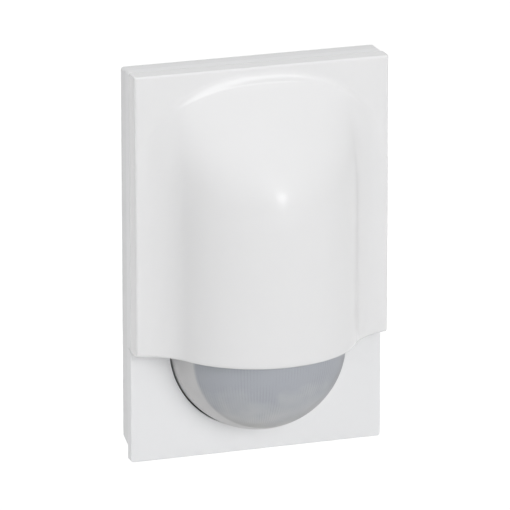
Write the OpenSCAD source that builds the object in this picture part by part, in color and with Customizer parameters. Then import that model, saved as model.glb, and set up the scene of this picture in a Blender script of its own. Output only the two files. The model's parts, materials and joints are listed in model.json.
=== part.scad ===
// Wall-mounted passive infrared motion sensor that switches a light, for outdoor surface fixing.
// The wall is the plane y = 0, the front faces -y and z points up.
// A depth is a distance from the wall, so a point at depth d has y = -d.
// The origin is on the wall, midway between the two fixing holes.

/* [Lens and outline] */
// Outer radius of the lens dome, which is centred on the frame's face at the hood's lower edge
lens_r = 27.6; // [24:0.1:29]
// Wall of the lens dome
lens_wall = 1.4; // [1:0.1:2]
// Ring-shaped gap between the lens and the edge of its opening
lens_gap = 0.5; // [0.3:0.1:2]
// How far the lens flange reaches behind the edge of the opening
lens_lip = 1; // [0.6:0.1:1.6]
// How far the lens runs up behind the hood
lens_rise = 6; // [4:0.5:10]
// Frame width left beside the lens opening
side_margin = 12.4; // [11.5:0.1:18]
// Frame height left below the lens opening
lower_margin = 7.5; // [6:0.1:14]
// Height of the upper edge above the fixing holes
top_z = 61.8; // [54:0.1:68]
// Radius of the outline's corners, seen from the front
corner_r = 0.9; // [0.5:0.1:1.6]

/* [Frame and wall base] */
// Depth of the wall base
base_depth = 4.7; // [4.4:0.1:8]
// Floor of the wall base
floor_t = 1.8; // [1.2:0.1:2]
// Side and top rim of the base and the frame
rim = 2; // [1.5:0.1:3]
// Thickness of the frame at its rim
frame_rim = 3.3; // [2.9:0.1:5]
// Thickness of the frame's plate inside the rim
plate_t = 2.3; // [1.9:0.1:2.5]
// Height of the base's lower edge above the frame's lower edge, at the wall
base_lift = 6.6; // [5.8:0.1:7.5]
// How much lower the base's sloping underside is at the front
base_slope = 1.9; // [0.5:0.1:2.4]
// Wall along the base's lower edge
base_foot = 2; // [1.6:0.1:3]
// Width of the inner ledge that carries the gasket
ledge_w = 2.2; // [1.6:0.1:2.6]
// Thickness of the fitted gasket
gasket_t = 1.5; // [1:0.1:1.8]
// Distance between the two fixing holes
hole_pitch = 60; // [52:0.5:64]
// Radius of a fixing hole
hole_r = 2.2; // [1.6:0.1:2.6]
// Radius of the supply cable
cable_r = 4; // [3:0.1:4.6]
// Wall of the cable grommet
grommet_wall = 2.2; // [1.5:0.1:3]
// Height of the grommet's neck inside the base
grommet_rise = 1.6; // [1:0.1:2.4]
// How far the grommet's collar reaches past its hole
grommet_collar = 1; // [0.6:0.1:1.6]

/* [Hood] */
// Height of the hood's flat margin above the frame's face
hood_rise = 5.7; // [5:0.1:12]
// Wall of the hood
hood_wall = 1.8; // [1.4:0.1:2.6]
// Gap between the hood and the lens inside it
hood_lens_gap = 1.1; // [0.6:0.1:3]
// Gap between the hood's back edge and the frame's face
hood_seam = 0.2; // [0.1:0.05:0.5]
// Radius of the bulge, seen from below
bulge_r = 31.5; // [30:0.5:40]
// Radius of the hollow that blends the bulge into the flat margins
blend_r = 18.5; // [12:0.5:20]
// Distance from the upper edge to the edge of the arch
arch_drop = 4.2; // [3.8:0.1:6]
// Height of the hollow that runs along the top of the arch
cove_h = 2.6; // [1.5:0.1:2.8]
// Height over which the bulge rises below the arch
crown_h = 42; // [38:0.5:54]
// Rounding of the hood's outer edges
edge_r = 0.8; // [0.4:0.1:1.4]
// Radius of a retaining peg
peg_r = 1.7; // [1.3:0.1:2]
// Distance of the pegs and the frame screws from the side edge
peg_inset = 7; // [6.4:0.1:7.6]
// Distance of the upper pegs from the upper edge
peg_drop = 7; // [5:0.5:9]
// Height of the lower pegs above the hood's lower edge
peg_rise = 6.3; // [4:0.1:8]
// How far a peg reaches into the frame
peg_grip = 2.6; // [2:0.1:2.8]
// Gap around a peg in its hole
peg_clear = 0.3; // [0.2:0.05:0.5]

/* [Inner cover] */
// Distance from the upper edge to the top of the inner cover
cover_drop = 13; // [11:0.5:18]
// Wall of the inner cover
cover_wall = 1.6; // [1.2:0.1:2.2]
// Gap between the inner cover's side wall and the main board's edge
board_side_gap = 0.4; // [0.2:0.1:1]
// Depth of the inner cover's top edge
cover_top_depth = 15; // [13:0.1:16]
// Gap between the hood and the curved front of the inner cover
cover_gap = 1.4; // [1:0.1:3]
// Gap between the hood and the flat adjuster panel
panel_gap = 5.3; // [3:0.1:6]
// Height of the adjuster panel
panel_h = 30; // [26:0.5:36]
// Shelf that closes the top of the lens
shelf_t = 1.8; // [1.2:0.1:3]
// Radius of an ear for a cover screw
ear_r = 3.4; // [2.8:0.1:3.6]

/* [Terminals] */
// Space above the terminals for the cable's wires
wire_space = 13.8; // [12.4:0.1:20]
// Height of the terminal block
terminal_h = 15; // [13:0.5:20]
// Depth of the terminal block's front face
terminal_depth = 13; // [12:0.1:15]
// Distance between terminals
terminal_pitch = 6.6; // [6.2:0.1:6.9]
// Number of terminals
terminal_n = 4; // [3:1:4]
// Radius of a wire hole
wire_r = 1.5; // [1:0.1:1.6]
// Radius of a terminal screw's head
clamp_head_r = 1.8; // [1.5:0.1:2]

/* [Boards and parts] */
// Thickness of the main board
board_t = 1.6; // [1.2:0.1:2]
// Distance of the board's screws from its side and lower edges
board_inset = 2.5; // [2.3:0.1:3.5]
// Distance of the board's upper screws from its upper edge
board_drop = 6; // [5:0.5:8]
// Gap between neighbouring parts across the main board
part_gap = 1.2; // [0.8:0.1:1.8]
// Gap between rows of parts up the main board
row_gap = 1.9; // [1.2:0.1:3]
// Height of the posts under the main board
board_post = 1.6; // [1.2:0.1:3]
// Gap between the main board and the terminal block
board_gap = 1.5; // [1:0.1:3]
// Distance between adjusters
knob_pitch = 9; // [8.5:0.1:9.4]
// Radius of an adjuster's head
knob_r = 3.4; // [2.6:0.1:3.5]
// Radius of an adjuster's shaft
shaft_r = 1.5; // [1:0.1:1.8]
// Gap around an adjuster's head
knob_clear = 0.3; // [0.2:0.05:0.5]
// How far an adjuster stands proud of its panel
knob_proud = 0.5; // [0:0.1:1.5]
// Width of an adjuster's trimmer
trimmer_w = 6.4; // [5.4:0.1:7]
// Height of an adjuster's trimmer above the board
trimmer_h = 5; // [4:0.1:7]
// Length of the relay, across the board
relay_w = 20; // [18:0.5:22.5]
// Width of the relay, up the board
relay_h = 10; // [9.8:0.1:12]
// Height of the relay above the board
relay_rise = 15.5; // [14:0.1:16]
// Wall of the relay's cover
relay_wall = 0.8; // [0.5:0.1:0.9]
// Length of the film capacitor, across the board
film_w = 11.5; // [10.5:0.1:13]
// Thickness of the film capacitor, up the board
film_h = 4.8; // [3.6:0.1:6]
// Height of the film capacitor above the board
film_rise = 10.5; // [8:0.1:12]
// Radius of the electrolytic capacitor
cap_r = 3.1; // [2.5:0.1:3.6]
// Height of the electrolytic capacitor above the board
cap_rise = 11; // [8:0.1:12]
// Radius of the varistor's disc
varistor_r = 4; // [3:0.1:4.6]
// Thickness of the varistor's disc
varistor_t = 3.4; // [2.4:0.1:4]
// Radius of the fuse's glass tube
fuse_r = 1.5; // [1.2:0.1:1.7]
// Length of the fuse
fuse_l = 9.5; // [8:0.1:10.4]
// Radius of an infrared sensor's can
can_r = 4.6; // [4:0.1:5]
// Height of an infrared sensor's can
can_h = 4.2; // [3:0.1:6]
// Distance between the two infrared sensors
can_pitch = 17; // [11:0.5:19]

/* [Screws] */
// Radius of a frame screw's shank
screw_r = 1.3; // [1:0.1:1.4]
// Radius of a frame screw's head
screw_head_r = 2.5; // [2.1:0.1:2.6]
// Height of a frame screw's head
screw_head_h = 1.8; // [1.2:0.1:2.6]
// Distance of the upper frame screws from the upper edge
screw_drop = 20; // [16:0.5:24]
// Height of the lower frame screws above the hood's lower edge
screw_rise = 14; // [13:0.5:17]
// Radius of a small screw's shank
mini_r = 0.9; // [0.7:0.05:1]
// Radius of a small screw's head
mini_head_r = 1.9; // [1.5:0.1:2]
// Height of a small screw's head
mini_head_h = 0.8; // [0.6:0.1:0.9]
// Gap between a screw and the plain hole that it passes through
screw_clear = 0.2; // [0.1:0.05:0.3]
// Gap between a screw's thread and its pilot hole, or between pieces that are pushed together
fit = 0.05; // [0.02:0.01:0.1]

/* [Hidden] */
$fn = 64;
// Overshoot of a cut past the face that it leaves
cut = 1;
// How far a joined shape runs into the shape that carries it
sink = 0.2;

// Parts of one usual size, as width across, height above the board and width up the board
chip = [5, 1.5, 4];
diode = [3.4, 1.4, 2];
diode_n = 4;
diode_pitch = 6.6;
contact_r = 0.6;
bead_r = contact_r + 0.5;
contact_drop = 3.5;
relay_low = 0.5;

// Width and height of the main board, from the parts that stand side by side and in rows on it
board_w = 2 * board_inset + mini_head_r + relay_w + film_w + 3 * part_gap;
relay_reach = relay_low + relay_h;
knob_rise = relay_reach + chip[2] + 2 * row_gap + trimmer_w / 2;
diode_rise = knob_rise + trimmer_w / 2 + row_gap + diode[2] / 2;
board_h = diode_rise + diode[2] / 2 + row_gap + bead_r + contact_drop;

// Depths, from the wall to the front
frame_depth = base_depth + frame_rim;
plate_depth = frame_depth - plate_t;
ledge_depth = plate_depth - gasket_t;
seal_t = 0.6;
lip_depth = plate_depth + seal_t;
margin_depth = frame_depth + hood_rise;
hood_depth = frame_depth + lens_r + hood_lens_gap + hood_wall;
bulge = hood_depth - margin_depth;
bulge_axis = hood_depth - bulge_r;
board_back = frame_depth + board_post;
board_front = board_back + board_t;
panel_depth = hood_depth - hood_wall - panel_gap;
ear_t = 2;
ear_depth = frame_depth + ear_t;

// Heights, from the upper edge down
cover_top = top_z - cover_drop;
terminal_top = cover_top - cover_wall - wire_space;
terminal_bottom = terminal_top - terminal_h;
board_top = terminal_bottom - board_gap;
board_bottom = board_top - board_h;
shelf_top = board_bottom - screw_clear;
lens_top = shelf_top - shelf_t;
lens_z = lens_top - lens_rise;
opening_r = lens_r + lens_gap;
bottom_z = lens_z - opening_r - lower_margin;
base_bottom = bottom_z + base_lift;
pocket_bottom = base_bottom + base_foot;
half_w = opening_r + side_margin;
hood_h = top_z - lens_z;

// Pegs and frame screws, near the sides
peg_x = half_w - peg_inset;
peg_places = [for (x = [-peg_x, peg_x], z = [top_z - peg_drop, lens_z + peg_rise]) [x, z]];
upper_screw_z = top_z - screw_drop;
lower_screw_z = lens_z + screw_rise;
screw_places = [for (x = [-peg_x, peg_x], z = [upper_screw_z, lower_screw_z]) [x, z]];

// Inner cover, with its ears between the upper and the lower frame screws
cover_w = board_w + 2 * (board_side_gap + cover_wall);
ear_gap = 0.3;
ear_x = cover_w / 2 + ear_r;
ear_step = ear_r + screw_head_r + ear_gap;
ear_zs = [upper_screw_z - ear_step, lower_screw_z + ear_step];
cover_places = [for (x = [-ear_x, ear_x], z = ear_zs) [x, z]];

// Main board and what stands on it
board_x = board_w / 2 - board_inset;
board_zs = [board_bottom + board_inset, board_top - board_drop];
board_places = [for (x = [-board_x, board_x], z = board_zs) [x, z]];
post_r = mini_head_r + 0.3;
header_w = 10.4;
header_t = 2.4;
header_rise = 1.6;
header_z = board_bottom + header_rise;
header_pins = 4;
header_pitch = 2.54;
header_xs = [for (i = [0 : header_pins - 1]) (i - (header_pins - 1) / 2) * header_pitch];
header_pin_r = 0.32;
header_slot_gap = 0.4;
contact_z = board_top - contact_drop;
knob_z = board_bottom + knob_rise;
knob_xs = [-knob_pitch, 0, knob_pitch];
knob_head_h = 2.2;
relay_x = board_inset + mini_head_r + part_gap - board_w / 2;
relay_at = [relay_x + relay_w / 2, board_bottom + relay_low + relay_h / 2];
relay_top = board_bottom + relay_reach;
film_x = relay_x + relay_w + part_gap;
fuse_cap_r = fuse_r + 0.2;
fuse_cap_l = 2;
fuse_z = board_bottom + board_inset + relay_low;
film_low = fuse_z + fuse_cap_r + part_gap;
cap_at = [board_w / 2 - cap_r - part_gap, film_low + film_h + part_gap + cap_r];
varistor_at = [part_gap - board_w / 2, relay_top + part_gap + varistor_r];

// Magnet of the relay, whose plate tips on the yoke
relay_base_t = 1.6;
relay_floor = board_front + relay_base_t;
yoke_t = 0.8;
yoke_w = 7;
core_r = 1.4;
pole_r = core_r + 1.2;
pole_t = 0.3;
coil_r = 3.4;
coil_h = 7.3;
flange_t = 0.6;
coil_shift = 3.5;
coil_x = relay_at[0] - coil_shift;
yoke_shift = 2;
yoke_x = relay_at[0] + yoke_shift;
pole_depth = relay_floor + yoke_t + coil_h + pole_t;
yoke_rise = 0.5;
yoke_depth = pole_depth + yoke_rise;
armature_gap = 0.3;
armature_t = 0.8;
armature_w = 6;

// Lens flange, and the carrier that clamps it from behind
flange_r = opening_r + lens_lip;
seat_r = flange_r + screw_clear;
carrier_r = flange_r - screw_clear;
carrier_t = 1.2;
carrier_edge = 1.8;
carrier_top = header_z + header_t + carrier_edge;
carrier_bottom = pocket_bottom + screw_clear;
mini_boss_r = mini_head_r + 0.4;
tab_x = seat_r + mini_boss_r + screw_clear;
tab_drop = 4;
tab_z = lens_z - tab_drop;
carrier_screw_x = board_x + 2 * mini_boss_r;
carrier_screw_z = carrier_top - mini_boss_r - screw_clear;
tab_places = [[-tab_x, tab_z], [tab_x, tab_z]];
carrier_places = concat(
    tab_places,
    [[-carrier_screw_x, carrier_screw_z], [carrier_screw_x, carrier_screw_z]]
);

// Sensor board
sensor_edge = 3;
sensor_board_w = can_pitch + 2 * (can_r + sensor_edge);
sensor_drop = 10.5;
sensor_gap = 0.6;
sensor_board_low = lens_z - sensor_drop;
sensor_board_top = lens_top - sensor_gap;
can_drop = 2;
can_z = lens_z - can_drop;
bulb_r = 1.5;
led_h = 3;
led_drop = 3.4;
light_h = 2.4;
light_rise = 3.5;

// Terminals and cable entry
terminal_edge = 0.5;
terminal_w = terminal_n * terminal_pitch + 2 * terminal_edge;
terminal_xs = [for (i = [0 : terminal_n - 1]) (i - (terminal_n - 1) / 2) * terminal_pitch];
foot_edge = 2.8;
foot_rise = 1.5;
foot_h = board_gap + contact_drop + foot_edge;
foot_depth = plate_depth + foot_rise;
contact_floor = 1.2;
contact_depth = floor_t + contact_floor;
clamp_w = 4.6;
clamp_h = 8;
clamp_inset = 0.5;
clamp_floor = 1.7;
clamp_t = 5.5;
clamp_depths = [floor_t + clamp_floor, floor_t + clamp_floor + clamp_t];
wire_seat = 1.9;
clamp_hole_depth = clamp_depths[0] + wire_seat;
clamp_screw_r = 1.1;
clamp_screw_z = terminal_top - clamp_inset - clamp_h / 2;
clamp_head_h = 2.2;
clamp_slot = [0.4, 0.8];
terminal_fence = [1.6, 2.4, 2];
grommet_r = cable_r + grommet_wall;
grommet_gap = 0.4;
collar_t = 0.8;
cable_z = terminal_top + grommet_r + grommet_collar + grommet_gap;
wiring_w = terminal_w + 2 * terminal_edge;
wiring_gap = 0.6;
wiring_low = terminal_bottom - foot_h - wiring_gap;
wiring_high = cover_top - cover_wall;

// Height of the bulge above the flat margin well below the crown, at a distance x from the middle
foot_x = sqrt(pow(bulge_r + blend_r, 2) - pow(bulge_r - bulge + blend_r, 2));
tangent_x = foot_x * bulge_r / (bulge_r + blend_r);
function bell(x) =
    let (a = abs(x))
    a < tangent_x ? bulge - bulge_r + sqrt(pow(bulge_r, 2) - a * a)
    : a < foot_x ? blend_r - sqrt(pow(blend_r, 2) - pow(foot_x - a, 2))
    : 0;

// Distance of the arch's edge from the upper edge
arch_power = 2.35;
crown_end = arch_drop + crown_h;
function arch(x) =
    let (s = min(1, abs(x) / foot_x))
    arch_drop + crown_h * (1 - pow(1 - pow(s, arch_power), 1 / arch_power));

// Share of the rise from the arch's edge to the crown's end: an even slope, then one that eases off
crown_straight = 0.4;
crown_ease = 1.6;
crown_slope = 1 / (crown_straight + (1 - crown_straight) / (crown_ease + 1));
function crown(s) =
    s < crown_straight ? crown_slope * s
    : let (rest = max(0, 1 - s) / (1 - crown_straight))
    1 - crown_slope * (1 - crown_straight) / (crown_ease + 1) * pow(rest, crown_ease + 1);

// Height of the hood's surface above its flat margin, t below the upper edge
cove_share = 0.12;
arch_soft = 0.012;
function swell(x, t) =
    let (below = t - arch(x))
    let (into = 1 + below / cove_h)
    let (cove = cove_share * pow(into, 2))
    let (rise = cove_share + (1 - cove_share) * crown(below / (crown_end - arch(x))))
    let (soft = arch_soft * min(1, into))
    into < 0 ? 0 : bell(x) * (cove + rise - sqrt(pow(cove - rise, 2) + pow(soft, 2))) / 2;

// Two-dimensional shapes are drawn in x and z
module slab(from, to) {
    translate([0, -from, 0]) rotate([90, 0, 0]) linear_extrude(to - from) children();
}

module rod(place, r, from, to) {
    translate([place[0], -from, place[1]]) rotate([90, 0, 0]) cylinder(r = r, h = to - from);
}

module block(x, depth, z) {
    translate([x[0], -depth[1], z[0]]) cube([x[1] - x[0], depth[1] - depth[0], z[1] - z[0]]);
}

// Prism along x from an outline in depth and height
module side_prism(x, outline) {
    translate([x[0], 0, 0])
        rotate([90, 0, 90])
            linear_extrude(x[1] - x[0]) polygon([for (p = outline) [-p[0], p[1]]]);
}

// Solid of revolution about an axis along the depth, from a profile in radius and depth
module turned(place) {
    translate([place[0], 0, place[1]]) rotate([90, 0, 0]) rotate_extrude() children();
}

module rect(x, z) {
    translate([x[0], z[0]]) square([x[1] - x[0], z[1] - z[0]]);
}

module disc(place, r) {
    translate(place) circle(r);
}

module outline() {
    rect([-half_w + corner_r, half_w - corner_r], [bottom_z, top_z]);
    rect([-half_w, half_w], [bottom_z + corner_r, top_z - corner_r]);
    for (x = [-1, 1], z = [bottom_z + corner_r, top_z - corner_r])
        disc([x * (half_w - corner_r), z], corner_r);
}

// Screw driven towards the wall, with a cross recess in its head
module screw(place, seat, r, length, head_r, head_h) {
    recess = [head_r * 0.22, head_r * 0.7, head_h * 0.6];
    difference() {
        union() {
            rod(place, r, seat - length, seat);
            rod(place, head_r, seat, seat + head_h);
        }
        for (a = [recess, [recess[1], recess[0], recess[2]]])
            block(
                [place[0] - a[0], place[0] + a[0]],
                [seat + head_h - a[2], seat + head_h + cut],
                [place[1] - a[1], place[1] + a[1]]
            );
    }
}

module wall_base() {
    inner_x = half_w - rim;
    ledge_x = inner_x - ledge_w;
    post_wall = 1.1;
    pilot_floor = 0.4;
    fence_x = terminal_w / 2 + screw_clear + terminal_fence[0] / 2;
    recess_x = half_w - 3 * rim;
    recess_t = 0.5;
    recess_gap = 9;
    color("whitesmoke") difference() {
        union() {
            difference() {
                intersection() {
                    side_prism([-half_w, half_w], [
                        [0, base_bottom],
                        [base_depth, base_bottom - base_slope],
                        [base_depth, top_z],
                        [0, top_z]
                    ]);
                    slab(0, base_depth) outline();
                }
                slab(ledge_depth, base_depth + cut) rect([-inner_x, inner_x], [pocket_bottom, top_z - rim]);
                slab(floor_t, base_depth + cut)
                    rect([-ledge_x, ledge_x], [pocket_bottom, top_z - rim - ledge_w]);
            }
            for (p = screw_places) rod(p, screw_r + post_wall, floor_t - sink, plate_depth);
            for (x = [-fence_x, fence_x])
                block(
                    [x - terminal_fence[0] / 2, x + terminal_fence[0] / 2],
                    [floor_t - sink, floor_t + terminal_fence[1]],
                    [terminal_bottom + terminal_fence[2], terminal_top - terminal_fence[2]]
                );
        }
        for (p = screw_places) rod(p, screw_r + fit, floor_t + pilot_floor, plate_depth + cut);
        for (x = [-1, 1]) rod([x * hole_pitch / 2, 0], hole_r, -cut, floor_t + cut);
        rod([0, cable_z], grommet_r, -cut, floor_t + cut);
        for (z = [[pocket_bottom + base_foot, -recess_gap], [recess_gap, terminal_top - recess_gap]])
            slab(-cut, recess_t) rect([-recess_x, recess_x], z);
    }
}

module base_gasket() {
    outer_x = half_w - rim - fit;
    outer_z = top_z - rim - fit;
    gasket_w = ledge_w - 0.3;
    color("dimgray") slab(ledge_depth, plate_depth) difference() {
        rect([-outer_x, outer_x], [pocket_bottom + screw_clear, outer_z]);
        rect([-outer_x + gasket_w, outer_x - gasket_w], [pocket_bottom - cut, outer_z - gasket_w]);
    }
}

// Rubber ring pushed into the floor, with a collar inside and the cable's passage through it
module cable_grommet() {
    neck_r = grommet_r - 1;
    color("dimgray") turned([0, cable_z]) {
        rect([cable_r, grommet_r - fit], [0, floor_t]);
        rect([cable_r, grommet_r + grommet_collar], [floor_t, floor_t + collar_t]);
        rect([cable_r, neck_r], [floor_t, floor_t + grommet_rise]);
    }
}

module terminal_block() {
    w = terminal_w / 2;
    color("gainsboro") difference() {
        union() {
            block([-w, w], [floor_t, terminal_depth], [terminal_bottom, terminal_top]);
            block([-w, w], [floor_t, foot_depth], [terminal_bottom - foot_h, terminal_bottom + sink]);
        }
        for (x = terminal_xs) {
            block(
                [x - clamp_w / 2 - fit, x + clamp_w / 2 + fit],
                [clamp_depths[0] - fit, clamp_depths[1] + fit],
                [terminal_top - clamp_h - clamp_inset - fit, terminal_top + cut]
            );
            rod([x, clamp_screw_z], clamp_head_r + screw_clear, clamp_depths[1], terminal_depth + cut);
            rod([x, contact_z], contact_r + fit, contact_depth - screw_clear, foot_depth + cut);
        }
    }
}

// Brass cages that a screw closes on the wire
module terminal_clamps() {
    top = terminal_top - clamp_inset;
    color("goldenrod") for (x = terminal_xs) difference() {
        block([x - clamp_w / 2, x + clamp_w / 2], clamp_depths, [top - clamp_h, top]);
        translate([x, -clamp_hole_depth, top - clamp_h - cut]) cylinder(r = wire_r, h = clamp_h + 2 * cut);
        rod([x, clamp_screw_z], clamp_screw_r + fit, clamp_hole_depth, clamp_depths[1] + cut);
    }
}

module terminal_screws() {
    seat = clamp_depths[1] + clamp_head_h / 3;
    top = seat + clamp_head_h;
    color("silver") for (x = terminal_xs) difference() {
        union() {
            rod([x, clamp_screw_z], clamp_screw_r, clamp_hole_depth + wire_r, seat + sink);
            rod([x, clamp_screw_z], clamp_head_r, seat, top);
        }
        block([x - clamp_head_r - cut, x + clamp_head_r + cut], [top - clamp_slot[1], top + cut],
            [clamp_screw_z - clamp_slot[0], clamp_screw_z + clamp_slot[0]]);
    }
}

// Round below, and cut off level behind the hood
module lens_window(r) {
    intersection() {
        disc([0, lens_z], r);
        rect([-r, r], [lens_z - r, lens_top + screw_clear]);
    }
}

// Gap between the tip of a small screw and the end of its pilot hole
tip_gap = 0.2;
mini_bite = 0.8;
cover_bite = 0.6;

module front_frame() {
    slot = [header_w / 2 + header_slot_gap, header_t / 2 + header_slot_gap];
    color("white") difference() {
        union() {
            difference() {
                slab(base_depth, frame_depth) outline();
                slab(base_depth - cut, plate_depth)
                    rect([-half_w + rim, half_w - rim], [pocket_bottom, top_z - rim]);
            }
            for (p = board_places) rod(p, post_r, frame_depth - sink, board_back);
            for (p = concat(carrier_places, cover_places))
                rod(p, mini_boss_r, base_depth, plate_depth + sink);
        }
        slab(base_depth - cut, frame_depth + cut) lens_window(opening_r);
        slab(base_depth - cut, lip_depth) lens_window(seat_r);
        slab(base_depth - cut, frame_depth + cut) {
            rect([-wiring_w / 2, wiring_w / 2], [wiring_low, wiring_high]);
            rect([-slot[0], slot[0]], [header_z - slot[1], header_z + slot[1]]);
        }
        for (p = screw_places) rod(p, screw_r + screw_clear, base_depth - cut, frame_depth + cut);
        for (p = peg_places) rod(p, peg_r + peg_clear, base_depth - cut, frame_depth + cut);
        for (p = board_places) rod(p, mini_r + fit, frame_depth - mini_bite - tip_gap, board_back + cut);
        for (p = carrier_places) rod(p, mini_r + fit, base_depth - cut, frame_depth - mini_bite + tip_gap);
        for (p = cover_places) rod(p, mini_r + fit, base_depth + cover_bite - tip_gap, frame_depth + cut);
    }
}

module frame_screws() {
    tip = floor_t + 1;
    color("silver") for (p = screw_places)
        screw(p, frame_depth, screw_r, frame_depth - tip, screw_head_r, screw_head_h);
}

// Dome, neck and flange in one moulding, cut off flat behind the hood
module lens_dome() {
    inner_r = lens_r - lens_wall;
    color("lightsteelblue", 0.6) difference() {
        turned([0, lens_z]) {
            intersection() {
                difference() {
                    disc([0, frame_depth], lens_r);
                    disc([0, frame_depth], inner_r);
                }
                rect([0, lens_r], [frame_depth, frame_depth + lens_r]);
            }
            rect([inner_r, lens_r], [base_depth, frame_depth]);
            rect([inner_r, flange_r], [base_depth, plate_depth]);
        }
        block([-flange_r - cut, flange_r + cut], [base_depth - cut, frame_depth + lens_r + cut],
            [lens_top, lens_z + flange_r + cut]);
    }
}

// Rubber ring between the lens flange and the frame's lip
module lens_seal() {
    color("dimgray") slab(plate_depth, lip_depth) intersection() {
        difference() {
            disc([0, lens_z], flange_r);
            disc([0, lens_z], lens_r + fit);
        }
        rect([-flange_r, flange_r], [lens_z - flange_r, lens_top]);
    }
}

// Plate behind the lens that clamps its flange and carries the sensor board
module sensor_carrier() {
    color("silver") difference() {
        slab(base_depth - carrier_t, base_depth) {
            intersection() {
                disc([0, lens_z], carrier_r);
                rect([-carrier_r, carrier_r], [carrier_bottom, carrier_top]);
            }
            for (p = carrier_places) disc(p, mini_boss_r);
            rect([-tab_x, tab_x], [tab_z - mini_boss_r, tab_z + mini_boss_r]);
        }
        for (p = carrier_places) rod(p, mini_r + screw_clear, floor_t, base_depth + cut);
    }
}

// These screws are driven from behind, towards the front
module carrier_screws() {
    seat = base_depth - carrier_t;
    color("silver") for (p = carrier_places) {
        rod(p, mini_r, seat, frame_depth - mini_bite);
        rod(p, mini_head_r, seat - mini_head_h, seat);
    }
}

module sensor_board() {
    neck = header_w / 2 + sensor_edge;
    color("seagreen") difference() {
        slab(base_depth, plate_depth) {
            rect([-sensor_board_w / 2, sensor_board_w / 2], [sensor_board_low, sensor_board_top]);
            rect([-neck, neck], [sensor_board_low, header_z + header_t]);
        }
        for (x = header_xs) rod([x, header_z], header_pin_r + fit, base_depth - cut, plate_depth + cut);
    }
}

module infrared_sensors() {
    brim = [0.4, 0.6];
    color("silver") for (x = [-1, 1]) turned([x * can_pitch / 2, can_z]) {
        rect([0, can_r], [plate_depth, plate_depth + can_h]);
        rect([0, can_r + brim[0]], [plate_depth, plate_depth + brim[1]]);
    }
}

module sensor_windows() {
    window = [can_r / 2, can_r * 0.4, 0.3];
    front = plate_depth + can_h;
    color("black") for (x = [-can_pitch / 2, can_pitch / 2])
        block([x - window[0], x + window[0]], [front, front + window[2]],
            [can_z - window[1], can_z + window[1]]);
}

// Small round part with a domed front and a foot ring
module domed_part(z, r, length) {
    foot = [0.4, 0.8];
    front = plate_depth + length;
    turned([0, z]) {
        rect([0, r], [plate_depth, front]);
        rect([0, r + foot[0]], [plate_depth, plate_depth + foot[1]]);
        intersection() {
            disc([0, front], r);
            rect([0, r], [front, front + r]);
        }
    }
}

module light_sensor() {
    color("khaki") domed_part(sensor_board_low + light_rise, bulb_r, light_h);
}

module status_led() {
    color("tomato") domed_part(sensor_board_top - led_drop, bulb_r, led_h);
}

// Plug strip that joins the sensor board to the main board
module board_header() {
    pin_ends = [base_depth + fit, board_front - fit];
    color("dimgray") {
        block([-header_w / 2, header_w / 2], [plate_depth, board_back],
            [header_z - header_t / 2, header_z + header_t / 2]);
        for (x = header_xs) rod([x, header_z], header_pin_r, pin_ends[0], pin_ends[1]);
    }
}

module main_board() {
    color("seagreen") difference() {
        slab(board_back, board_front) rect([-board_w / 2, board_w / 2], [board_bottom, board_top]);
        for (p = board_places) rod(p, mini_r + screw_clear, board_back - cut, board_front + cut);
        for (x = header_xs) rod([x, header_z], header_pin_r + fit, board_back - cut, board_front + cut);
        for (x = terminal_xs) rod([x, contact_z], contact_r + fit, board_back - cut, board_front + cut);
    }
}

module board_screws() {
    color("silver") for (p = board_places)
        screw(p, board_front, mini_r, board_front - frame_depth + mini_bite, mini_head_r, mini_head_h);
}

// Pins that plug the board into the terminal block, each with a solder bead
module contact_pins() {
    bead_t = 0.6;
    color("goldenrod") for (x = terminal_xs) {
        rod([x, contact_z], contact_r, contact_depth, board_front + 2 * bead_t);
        rod([x, contact_z], bead_r, board_front, board_front + bead_t);
    }
}

module relay_box(inset, from, to) {
    w = relay_w / 2 - inset;
    h = relay_h / 2 - inset;
    block([relay_at[0] - w, relay_at[0] + w], [from, to], [relay_at[1] - h, relay_at[1] + h]);
}

module relay_base() {
    color("dimgray") relay_box(relay_wall + fit, board_front, relay_floor);
}

module relay_cover() {
    color("royalblue") difference() {
        relay_box(0, board_front, board_front + relay_rise);
        relay_box(relay_wall, board_front - cut, board_front + relay_rise - relay_wall);
    }
}

// Wound bobbin between two flanges
module relay_coil() {
    low = relay_floor + yoke_t;
    bore = core_r + fit;
    flange = coil_r + flange_t;
    color("chocolate") turned([coil_x, relay_at[1]]) {
        rect([bore, coil_r], [low, low + coil_h]);
        rect([bore, flange], [low, low + flange_t]);
        rect([bore, flange], [low + coil_h - flange_t, low + coil_h]);
    }
}

module relay_yoke() {
    z = [relay_at[1] - yoke_w / 2, relay_at[1] + yoke_w / 2];
    color("slategray") {
        block([coil_x - coil_r, yoke_x + yoke_t], [relay_floor, relay_floor + yoke_t], z);
        block([yoke_x, yoke_x + yoke_t], [relay_floor, yoke_depth], z);
        rod([coil_x, relay_at[1]], core_r, relay_floor + yoke_t - sink, pole_depth);
        rod([coil_x, relay_at[1]], pole_r, pole_depth - pole_t, pole_depth);
    }
}

// Iron plate that tips towards the coil about its round end, above the yoke's edge
module relay_armature() {
    back = yoke_depth + armature_gap;
    pivot_x = yoke_x + yoke_t / 2;
    z = [relay_at[1] - armature_w / 2, relay_at[1] + armature_w / 2];
    color("slategray") {
        block([coil_x - pole_r, pivot_x], [back, back + armature_t], z);
        translate([pivot_x, -back - armature_t / 2, z[0]]) cylinder(d = armature_t, h = armature_w);
    }
}

module film_capacitor() {
    color("gold") block([film_x, film_x + film_w], [board_front, board_front + film_rise],
        [film_low, film_low + film_h]);
}

// Can with the rolled groove that holds its seal
module electrolytic_capacitor() {
    groove = [0.15, 1.8, 0.4];
    color("midnightblue") turned(cap_at) difference() {
        rect([0, cap_r], [board_front, board_front + cap_rise]);
        disc([cap_r + groove[0], board_front + groove[1]], groove[2]);
    }
}

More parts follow.
